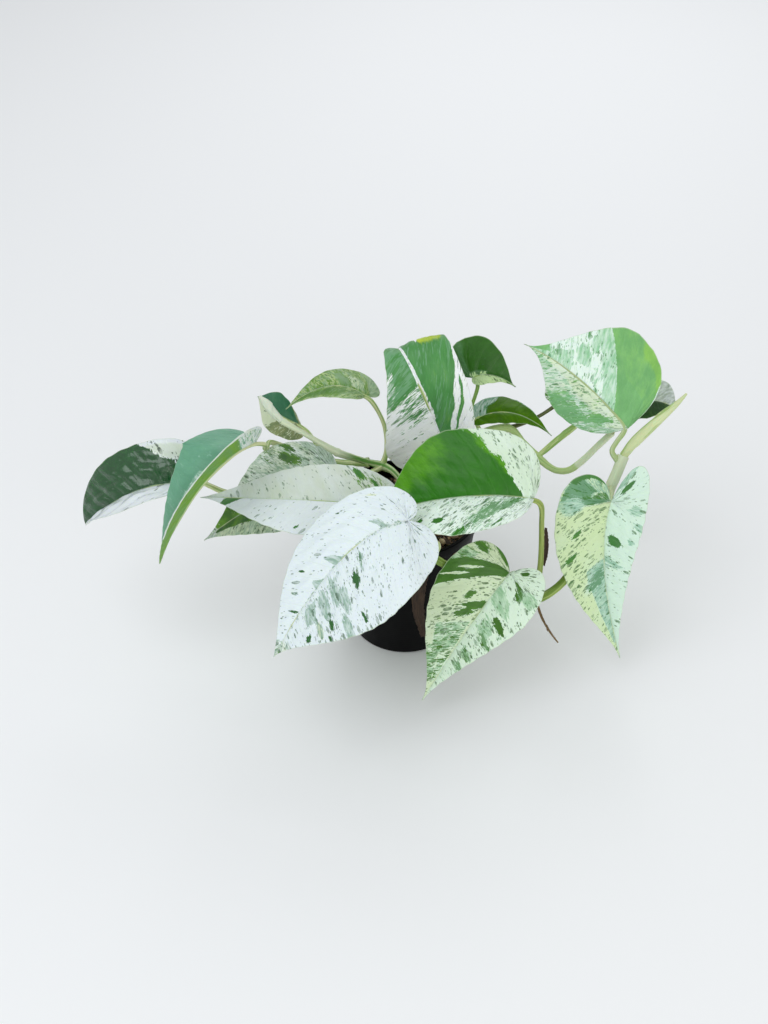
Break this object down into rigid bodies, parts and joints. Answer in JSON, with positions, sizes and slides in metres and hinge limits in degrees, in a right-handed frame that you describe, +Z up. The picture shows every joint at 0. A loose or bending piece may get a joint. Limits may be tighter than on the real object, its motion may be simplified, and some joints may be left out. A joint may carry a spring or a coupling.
{
  "type": "potted marble queen pothos",
  "caption": "Trailing pothos with heart-shaped leaves marbled white, cream and green, on long stems from a tapered black nursery pot of bark mix.",
  "frame": {"origin": "centre of the pot's underside, on the surface that it stands on", "axes": "+Z up; +X to the right along the plant's longest side, from the far left leaf to the right shoots; +Y away from the viewer, with the large white leaf to the front at -Y"},
  "size_m": [0.4189, 0.2375, 0.2099],
  "materials": {
    "pot": "satin black moulded plastic",
    "soil": "damp bark and peat mix with tan pebbles",
    "stem": "smooth green stem streaked with cream",
    "leaf": "waxy, marbled white, cream and green",
    "new_leaf": "furled new leaf, cream to yellow-green",
    "root": "dry brown root",
    "dry_sheath": "papery dried sheath"
  },
  "bodies": {
    "root": {"pot": "pot", "soil": "soil", "leaf_far_left": "leaf", "leaf_left_arching": "leaf", "leaf_left_small": "leaf", "leaf_left_low": "leaf", "leaf_back_left": "leaf", "leaf_left_folded": "leaf", "leaf_front_white": "leaf", "leaf_centre": "leaf", "leaf_front_heart": "leaf", "leaf_right_hanging": "leaf", "leaf_right_top": "leaf", "leaf_upright": "leaf", "leaf_back_small": "leaf", "leaf_back_dark": "leaf", "leaf_back_hidden": "leaf", "leaf_back_right": "leaf", "leaf_inner": "leaf", "vine_left": "stem", "vine_right": "stem", "vine_back": "stem", "vine_low_left": "stem", "vine_centre": "stem", "new_leaf_right": "new_leaf", "new_leaf_left": "new_leaf", "new_leaf_back": "new_leaf", "aerial_root": "root", "rim_root": "root", "dry_sheath_pot": "dry_sheath", "dry_sheath_stalk": "dry_sheath"}
  },
  "joints": []
}
